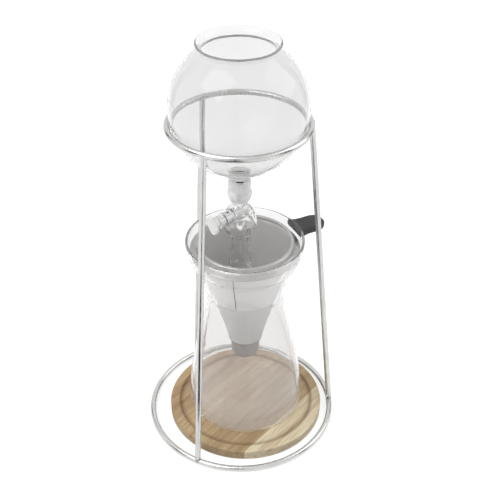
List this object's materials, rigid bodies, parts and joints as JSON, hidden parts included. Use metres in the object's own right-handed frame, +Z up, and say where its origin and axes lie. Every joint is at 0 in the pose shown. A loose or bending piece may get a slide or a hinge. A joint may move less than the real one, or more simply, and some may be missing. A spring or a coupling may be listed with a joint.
{
  "type": "cold drip coffee tower",
  "caption": "Slender steel rod stand holding a glass water globe and drip valve over a steel cone filter and a waisted glass carafe on a wooden disc.",
  "frame": {"origin": "on the table at the centre of the stand's hoops", "axes": "+Z up, +X towards one of the three legs"},
  "size_m": [0.207, 0.206, 0.4387],
  "materials": {
    "steel_rod": "satin polished",
    "clear_glass": "clear",
    "clear_silicone": "milky translucent",
    "black_rubber": "satin",
    "white_plug": "waxy",
    "white_handle": "satin",
    "black_grip": "matte moulded",
    "filter_steel": "satin",
    "filter_weave": "fine woven mesh",
    "wood": "oiled, mixed grain"
  },
  "bodies": {
    "stand": {"base_ring": "steel_rod", "top_ring": "steel_rod", "leg_right": "steel_rod", "leg_back": "steel_rod", "leg_front": "steel_rod"},
    "globe_unit": {"globe": "clear_glass", "neck_sleeve": "clear_silicone", "stem_o_ring": "black_rubber", "valve_body": "clear_glass", "plug_gland": "white_plug"},
    "valve_plug_unit": {"valve_plug": "white_plug", "plug_o_ring_inner": "black_rubber", "plug_o_ring_outer": "black_rubber", "valve_handle": "white_handle"},
    "disc": {"wood_disc": "wood"},
    "carafe_unit": {"carafe": "clear_glass", "handle_grip": "black_grip"},
    "filter_unit": {"filter_rim": "filter_steel", "filter_shell": "filter_steel", "filter_mesh": "filter_weave", "filter_cup": "filter_steel"}
  },
  "joints": [
    {"name": "globe_lift", "type": "slide", "parent": "stand", "child": "globe_unit", "axis": [0, 0, 1], "range_m": [0, 0.18]},
    {"name": "valve_turn", "type": "hinge", "parent": "globe_unit", "child": "valve_plug_unit", "pos_m": [0, 0, 0.26176], "axis": [-0.7547, -0.6561, 0], "continuous": true},
    {"name": "disc_lift", "type": "slide", "parent": "stand", "child": "disc", "axis": [0, 0, 1], "range_m": [0, 0.005]},
    {"name": "carafe_turn", "type": "hinge", "parent": "disc", "child": "carafe_unit", "pos_m": [0.005, 0, 0.0104], "axis": [0, 0, 1], "range_deg": [-12, 76]},
    {"name": "filter_lift", "type": "slide", "parent": "carafe_unit", "child": "filter_unit", "axis": [0, 0, 1], "range_m": [0, 0.01]}
  ]
}
